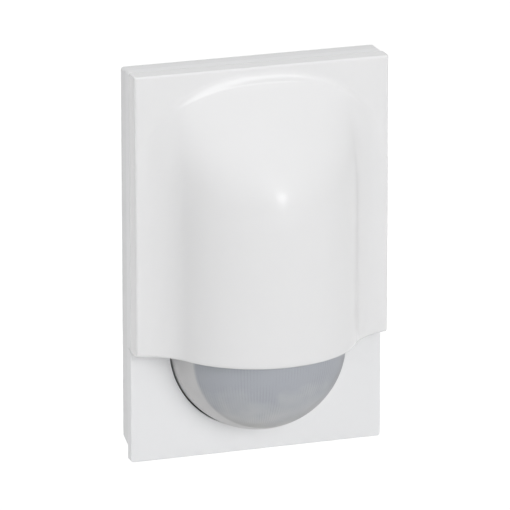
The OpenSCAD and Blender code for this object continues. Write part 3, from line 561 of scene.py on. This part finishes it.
class Nodes:
    """Short way to build a material's node tree."""

    def __init__(self, name):
        self.material = bpy.data.materials.new(name)
        self.material.use_nodes = True
        self.tree = self.material.node_tree
        self.tree.nodes.clear()
        self.output = self.add("ShaderNodeOutputMaterial")
        self.coords = self.add("ShaderNodeTexCoord").outputs["Object"]

    def add(self, kind, **settings):
        node = self.tree.nodes.new(kind)
        for key, value in settings.items():
            setattr(node, key, value)
        return node

    def link(self, source, target):
        self.tree.links.new(source, target)

    def noise(self, size, detail=3.0, stretch=(1, 1, 1)):
        """Noise whose features are about the given size in millimetres."""
        mapping = self.add("ShaderNodeMapping")
        mapping.inputs["Scale"].default_value = [s / (size * MM) for s in stretch]
        self.link(self.coords, mapping.inputs["Vector"])
        noise = self.add("ShaderNodeTexNoise")
        noise.inputs["Scale"].default_value = 1.0
        noise.inputs["Detail"].default_value = detail
        self.link(mapping.outputs["Vector"], noise.inputs["Vector"])
        return noise.outputs["Fac"]

    def mottle(self, color, spread, size=6.0):
        """Colour that varies a little in patches of the given size in millimetres."""
        patches = self.noise(size, detail=2.0)
        return self.blend(patches, shaded(color, 1 - spread), shaded(color, 1 + spread))

    def blend(self, factor, low, high):
        """Colour between two, by a factor."""
        mix = self.add("ShaderNodeMix", data_type="RGBA")
        mix.inputs["A"].default_value = (*low, 1)
        mix.inputs["B"].default_value = (*high, 1)
        self.link(factor, mix.inputs["Factor"])
        return mix.outputs["Result"]

    def span(self, factor, low, high, start=0.3, end=0.7):
        """Number between two, as the factor goes from start to end."""
        span = self.add("ShaderNodeMapRange")
        for key, value in (("From Min", start), ("From Max", end), ("To Min", low), ("To Max", high)):
            span.inputs[key].default_value = value
        self.link(factor, span.inputs["Value"])
        return span.outputs["Result"]

    def math(self, operation, first, second=None):
        """Result of a sum on sockets or plain numbers."""
        node = self.add("ShaderNodeMath", operation=operation)
        for socket, value in zip(node.inputs, (first, second)):
            if isinstance(value, float):
                socket.default_value = value
            elif value is not None:
                self.link(value, socket)
        return node.outputs["Value"]

    def choose(self, factor, first, second):
        """First colour where the factor is 0, second where it is 1."""
        mix = self.add("ShaderNodeMix", data_type="RGBA")
        for key, source in (("Factor", factor), ("A", first), ("B", second)):
            self.link(source, mix.inputs[key])
        return mix.outputs["Result"]

    def bump(self, height, depth):
        """Normal of a relief of the given depth in millimetres."""
        bump = self.add("ShaderNodeBump")
        bump.inputs["Distance"].default_value = depth * MM
        bump.inputs["Strength"].default_value = 1.0
        self.link(height, bump.inputs["Height"])
        return bump.outputs["Normal"]

    def shader(self, color=None, roughness=None, normal=None, **values):
        """Principled shader: sockets for what varies, plain values for the rest."""
        shader = self.add("ShaderNodeBsdfPrincipled")
        for key, value in values.items():
            shader.inputs[key.replace("_", " ")].default_value = value
        for key, source in (("Base Color", color), ("Roughness", roughness), ("Normal", normal)):
            if source is not None:
                self.link(source, shader.inputs[key])
        self.link(shader.outputs["BSDF"], self.output.inputs["Surface"])
        return shader


def shaded(color, factor):
    return tuple(min(1.0, c * factor) for c in color)


def moulded(name, color, roughness, spread=0.015, grain=0.25, relief=0.004, **values):
    """Moulded plastic: faint flow marks in the colour, a fine grain and uneven gloss."""
    n = Nodes(name)
    n.shader(
        n.mottle(color, spread, size=14.0),
        n.span(n.noise(5.0), roughness * 0.9, roughness * 1.1),
        n.bump(n.noise(grain, detail=2.0), relief),
        **values,
    )
    return n.material


def metal(name, color, roughness, stretch=(1, 1, 12), grain=0.6, **values):
    """Metal with drawn or turned marks along one way and slight staining."""
    n = Nodes(name)
    marks = n.noise(grain, 3.0, stretch)
    stain = n.noise(4.0)
    n.shader(
        n.blend(stain, shaded(color, 0.86), shaded(color, 1.08)),
        n.span(marks, roughness * 0.75, roughness * 1.3),
        n.bump(marks, 0.006),
        Metallic=1.0,
        **values,
    )
    return n.material


def rubber(name, color):
    n = Nodes(name)
    speckle = n.noise(0.3, 4.0)
    n.shader(
        n.blend(speckle, shaded(color, 0.7), shaded(color, 1.5)),
        n.span(n.noise(3.0), 0.62, 0.8),
        n.bump(speckle, 0.02),
    )
    return n.material


def board(name, color, trace):
    """Solder mask over fine copper tracks."""
    n = Nodes(name)
    mapping = n.add("ShaderNodeMapping")
    mapping.inputs["Rotation"].default_value = (math.pi / 2, 0, 0)
    mapping.inputs["Scale"].default_value = (1 / MM,) * 3
    n.link(n.coords, mapping.inputs["Vector"])
    tracks = n.add("ShaderNodeTexBrick", offset=0.37, squash=1.6)
    pattern = {"Scale": 0.28, "Mortar Size": 0.05, "Mortar Smooth": 0.1, "Row Height": 0.5}
    for key, value in pattern.items():
        tracks.inputs[key].default_value = value
    n.link(mapping.outputs["Vector"], tracks.inputs["Vector"])
    n.shader(
        n.blend(tracks.outputs["Fac"], color, trace),
        n.span(n.noise(1.2), 0.32, 0.45),
        n.bump(tracks.outputs["Fac"], 0.03),
    )
    return n.material


def winding(name, color, wire):
    """Fine enamelled wire, wound round an axis along the depth, with painted shade between the turns.
    """
    n = Nodes(name)
    turns = n.add("ShaderNodeTexWave", wave_type="BANDS", bands_direction="Y")
    bands_per_unit = 20
    turns.inputs["Scale"].default_value = 1 / (wire * MM) / bands_per_unit
    turns.inputs["Distortion"].default_value = 0.4
    n.link(n.coords, turns.inputs["Vector"])
    n.shader(
        # Painted shade: each band runs from dark to light, so that the grooves between the turns look
        # shaded.
        n.blend(turns.outputs["Fac"], shaded(color, 0.45), shaded(color, 1.15)),
        n.span(n.noise(1.0), 0.25, 0.4),
        n.bump(turns.outputs["Fac"], 0.06),
        Metallic=0.6,
    )
    return n.material


def lens_plastic(name, dome, lit_foot, rim, inside):
    """Milky ribbed polyethylene. Painted shade makes it darker and bluish at the dome's top, under the
    hood, and painted light makes it paler at its foot and plain rim.
    """
    n = Nodes(name)
    split = n.add("ShaderNodeSeparateXYZ")
    n.link(n.coords, split.inputs["Vector"])
    x, y, z = (split.outputs[axis] for axis in "XYZ")

    middle = n.add("ShaderNodeVectorMath", operation="DISTANCE")
    middle.inputs[1].default_value = (0, -FRAME_DEPTH * MM, LENS_Z * MM)
    n.link(n.coords, middle.inputs[0])
    wall_r = (LENS_R - RIM_STEP) * MM
    fade = INSIDE_FADE * MM
    is_inside = n.span(middle.outputs["Value"], 1.0, 0.0, wall_r - fade, wall_r + fade)

    edge = -(FRAME_DEPTH + RIM_SEEN_H) * MM
    is_rim = n.span(y, 0.0, 1.0, edge - RIM_FADE[0] * MM, edge + RIM_FADE[1] * MM)
    is_dome = n.span(is_rim, 1.0, 0.0, 0.0, 1.0)

    turn = n.math("ARCTAN2", n.math("ADD", y, FRAME_DEPTH * MM), x)
    lines = n.span(n.math("COSINE", n.math("MULTIPLY", turn, 2.0 * RIBS)), 0.0, 1.0, 0.4, 1.0)
    patches = n.span(n.noise(9.0), 0.0, RIB_CLEAR, 0.42, 0.62)
    ribs = n.math("MULTIPLY", n.math("MULTIPLY", lines, is_dome), patches)

    # Painted light and shade: the dome's colour goes from the darker bluish top, painted shade under
    # the hood, to the paler foot, painted light. The plain rim is painted paler as painted light.
    height = n.math("ADD", z, n.span(n.noise(7.0), -LIT_FOOT_WAVER * MM, LIT_FOOT_WAVER * MM))
    low = n.span(height, 1.0, 0.0, (LENS_Z - LIT_FOOT_DROP[1]) * MM, (LENS_Z - LIT_FOOT_DROP[0]) * MM)
    skin = n.choose(is_rim, n.blend(low, dome, lit_foot), n.mottle(rim, 0.03))
    milky = n.shader(
        n.choose(is_inside, skin, n.mottle(inside, 0.06)),
        n.span(n.noise(2.5), 0.30, 0.36),
        n.bump(n.noise(0.35, detail=2.0), 0.002),
        IOR=1.5,
    )
    clear = n.add("ShaderNodeBsdfTransparent")
    clear.inputs["Color"].default_value = (0.93, 0.96, 1.0, 1)
    mix = n.add("ShaderNodeMixShader")
    n.link(n.math("ADD", n.span(is_rim, DOME_CLEAR, RIM_CLEAR, 0.0, 1.0), ribs), mix.inputs["Fac"])
    n.link(milky.outputs["BSDF"], mix.inputs[1])
    n.link(clear.outputs["BSDF"], mix.inputs[2])
    n.link(mix.outputs["Shader"], n.output.inputs["Surface"])
    return n.material


def glass(name, color):
    n = Nodes(name)
    n.shader(
        n.blend(n.noise(2.0), shaded(color, 0.95), color),
        n.span(n.noise(1.0), 0.02, 0.06),
        Transmission_Weight=0.9,
        IOR=1.5,
    )
    return n.material


MATERIALS = {
    "hood_white": moulded(
        "hood_white", (0.80, 0.80, 0.805), 0.16, spread=0.006, grain=0.5, relief=0.0006
    ),
    "frame_white": moulded("frame_white", (0.83, 0.835, 0.845), 0.34, spread=0.006, relief=0.002),
    "base_white": moulded("base_white", (0.80, 0.805, 0.81), 0.45, spread=0.01, relief=0.004),
    # The lens's dome, foot and rim colours are painted shade and painted light.
    "lens_plastic": lens_plastic(
        "lens_plastic", dome=(0.56, 0.575, 0.615), lit_foot=(0.78, 0.775, 0.76), rim=(0.66, 0.655, 0.655),
        inside=(0.80, 0.81, 0.83),
    ),
    "seal_rubber": rubber("seal_rubber", (0.03, 0.03, 0.032)),
    "inner_grey": moulded("inner_grey", (0.50, 0.51, 0.52), 0.5, spread=0.03),
    "terminal_grey": moulded("terminal_grey", (0.56, 0.57, 0.55), 0.48, spread=0.03),
    "contact_brass": metal("contact_brass", (0.78, 0.58, 0.25), 0.3),
    "screw_steel": metal("screw_steel", (0.50, 0.50, 0.51), 0.33),
    "board_green": board("board_green", (0.02, 0.16, 0.07), (0.05, 0.28, 0.12)),
    "can_steel": metal("can_steel", (0.66, 0.66, 0.67), 0.28, stretch=(1, 10, 1)),
    "window_dark": moulded("window_dark", (0.02, 0.02, 0.024), 0.12, spread=0.3, relief=0.001),
    "led_red": moulded("led_red", (0.62, 0.03, 0.02), 0.15, spread=0.1, Transmission_Weight=0.4),
    "sensor_clear": moulded(
        "sensor_clear", (0.72, 0.66, 0.48), 0.12, spread=0.08, Transmission_Weight=0.6
    ),
    "part_black": moulded("part_black", (0.02, 0.02, 0.022), 0.5, spread=0.4, relief=0.008),
    "relay_blue": moulded("relay_blue", (0.03, 0.10, 0.36), 0.28, spread=0.08),
    "coil_copper": winding("coil_copper", (0.62, 0.24, 0.09), 0.12),
    "relay_iron": metal("relay_iron", (0.42, 0.42, 0.44), 0.38, stretch=(12, 1, 1)),
    "film_yellow": moulded("film_yellow", (0.72, 0.46, 0.03), 0.32, spread=0.06),
    "can_blue": moulded("can_blue", (0.02, 0.03, 0.12), 0.22, spread=0.2),
    "varistor_teal": moulded("varistor_teal", (0.02, 0.18, 0.22), 0.3, spread=0.12),
    "fuse_glass": glass("fuse_glass", (0.85, 0.88, 0.88)),
    "trimmer_blue": moulded("trimmer_blue", (0.04, 0.13, 0.40), 0.42, spread=0.08),
    "knob_orange": moulded("knob_orange", (0.72, 0.17, 0.02), 0.36, spread=0.05),
}


def finish_piece(piece, slot):
    piece.data.materials.clear()
    piece.data.materials.append(MATERIALS[slot])


# Pieces

# Widths of the rounded edges of CAD nodes, and crease angles that differ from the usual one
EDGES = {
    "front_frame": 0.35, "wall_base": 0.3, "inner_cover": 0.4, "terminal_block": 0.25,
    "sensor_carrier": 0.15, "relay_cover": 0.3, "film_capacitor": 0.4, "electrolytic_capacitor": 0.3,
    "varistor": 0.8, "frame_screws": 0.15, "cover_screws": 0.1, "time_knob": 0.25, "lux_knob": 0.25,
    "range_knob": 0.25, "trimmers": 0.2, "controller_chip": 0.1, "rectifier_diodes": 0.1,
}
CREASES = {"inner_cover": 12}
for piece, node in ((make_hood(), "hood"), (make_lens(), "lens_dome")):
    finish_piece(piece, SLOT_OF[node])
for node, edge in EDGES.items():
    finish_piece(dress(node, edge), SLOT_OF[node])
make_marks()
for node, cad in frame["nodes"].items():
    if not cad.hide_render:
        finish_piece(cad, SLOT_OF[node])


# Camera, floor and light

CAMERA_AZIMUTH = 18.78
CAMERA_ELEVATION = 17.09
CAMERA_DISTANCE = 1837.2
CAMERA_TARGET = (2.10, -1.47)
FOCAL_PX = 6000.0
FRAME_PX = 510.0
SENSOR = 36.0


def make_camera():
    azimuth, elevation = math.radians(CAMERA_AZIMUTH), math.radians(CAMERA_ELEVATION)
    turn = Matrix.Rotation(-azimuth, 4, "Z") @ Matrix.Rotation(math.pi / 2 - elevation, 4, "X")
    across, up, back = (turn.to_3x3() @ Vector(axis) for axis in ((1, 0, 0), (0, 1, 0), (0, 0, 1)))
    position = across * CAMERA_TARGET[0] + up * CAMERA_TARGET[1] + back * CAMERA_DISTANCE
    data = bpy.data.cameras.new("camera")
    data.sensor_width = SENSOR
    data.lens = FOCAL_PX / FRAME_PX * SENSOR
    camera = add_object("camera", data)
    camera.matrix_world = Matrix.Translation(position * MM) @ turn
    bpy.context.scene.camera = camera


def make_lamp(name, azimuth, elevation, distance, width, height, radiance, mirrored=True, aside=0.0):
    """Oval soft lamp, aimed at the object and then moved aside, with all lengths in metres.

    Azimuth 0 is in front, and positive is to the right. A lamp that isn't mirrored leaves no highlight.
    """
    a, e = math.radians(azimuth), math.radians(elevation)
    away = Vector((math.sin(a) * math.cos(e), -math.cos(a) * math.cos(e), math.sin(e)))
    data = bpy.data.lights.new(name, "AREA")
    data.shape = "ELLIPSE"
    data.size = width
    data.size_y = height
    data.energy = radiance * math.pi * math.pi * width * height / 4
    lamp = add_object(name, data)
    lamp.location = away * distance + Vector((aside, 0, 0))
    lamp.rotation_euler = away.to_track_quat("Z", "Y").to_euler()
    lamp.visible_camera = False
    lamp.visible_glossy = mirrored


def seen(tree):
    """Socket that is 1 for what the camera sees, also mirrored or through clear plastic, or else 0."""
    path = tree.nodes.new("ShaderNodeLightPath")
    level = path.outputs["Is Camera Ray"]
    for kind in ("Is Glossy Ray", "Is Transmission Ray"):
        either = tree.nodes.new("ShaderNodeMath")
        either.operation = "MAXIMUM"
        tree.links.new(level, either.inputs[0])
        tree.links.new(path.outputs[kind], either.inputs[1])
        level = either.outputs["Value"]
    return level


def make_world(ambient):
    """White where it is seen, and an even soft light on surfaces."""
    world = bpy.data.worlds.new("studio")
    world.use_nodes = True
    bpy.context.scene.world = world
    tree = world.node_tree
    tree.nodes.clear()
    strength = tree.nodes.new("ShaderNodeMath")
    strength.operation = "MAXIMUM"
    strength.inputs[1].default_value = ambient
    tree.links.new(seen(tree), strength.inputs[0])
    shader = tree.nodes.new("ShaderNodeBackground")
    shader.inputs["Color"].default_value = (1, 1, 1, 1)
    output = tree.nodes.new("ShaderNodeOutputWorld")
    tree.links.new(strength.outputs["Value"], shader.inputs["Strength"])
    tree.links.new(shader.outputs["Background"], output.inputs["Surface"])


def make_floor(drop, size, near_glow, far_glow, fade):
    """Pale floor below the object. It glows less near the object, where it keeps the shadow."""
    floor_z = cad_box[0].z - drop * MM
    mesh = bpy.data.meshes.new("floor")
    half = size * MM / 2
    corners = [(-half, -half), (half, -half), (half, half), (-half, half)]
    mesh.from_pydata([(x, y, floor_z) for x, y in corners], [], [(0, 1, 2, 3)])
    floor = add_object("floor", mesh)
    n = Nodes("floor_white")
    paint = n.add("ShaderNodeBsdfDiffuse")
    n.link(n.blend(n.noise(300.0), (0.80, 0.80, 0.80), (0.82, 0.82, 0.82)), paint.inputs["Color"])
    light = n.add("ShaderNodeEmission")
    away = n.add("ShaderNodeVectorMath", operation="LENGTH")
    n.link(n.coords, away.inputs[0])
    glow = n.span(away.outputs["Value"], near_glow, far_glow, fade[0] * MM, fade[1] * MM)
    n.link(n.math("MULTIPLY", seen(n.tree), glow), light.inputs["Strength"])
    both = n.add("ShaderNodeAddShader")
    n.link(paint.outputs["BSDF"], both.inputs[0])
    n.link(light.outputs["Emission"], both.inputs[1])
    n.link(both.outputs["Shader"], n.output.inputs["Surface"])
    mesh.materials.append(n.material)


make_camera()
make_world(ambient=0.14)
make_floor(drop=120.0, size=30000.0, near_glow=0.28, far_glow=0.68, fade=(200.0, 420.0))
make_lamp("front", 16, 12, 1.8, 1.2, 1.2, 3.72, mirrored=False)
make_lamp("front_upper", 0, 28, 1.8, 0.8, 0.8, 2.25, mirrored=False)
make_lamp("left", -95, 10, 1.8, 1.0, 1.0, 2.4, mirrored=False)
make_lamp("right", 105, 10, 1.8, 1.0, 1.0, 0.4, mirrored=False)
make_lamp("overhead", 0, 84, 1.7, 3.2, 1.1, 2.2, aside=-0.4)
make_lamp("spot", 11, 10, 1.7, 0.36, 0.38, 3.7)
bpy.context.scene.view_settings.view_transform = "Standard"
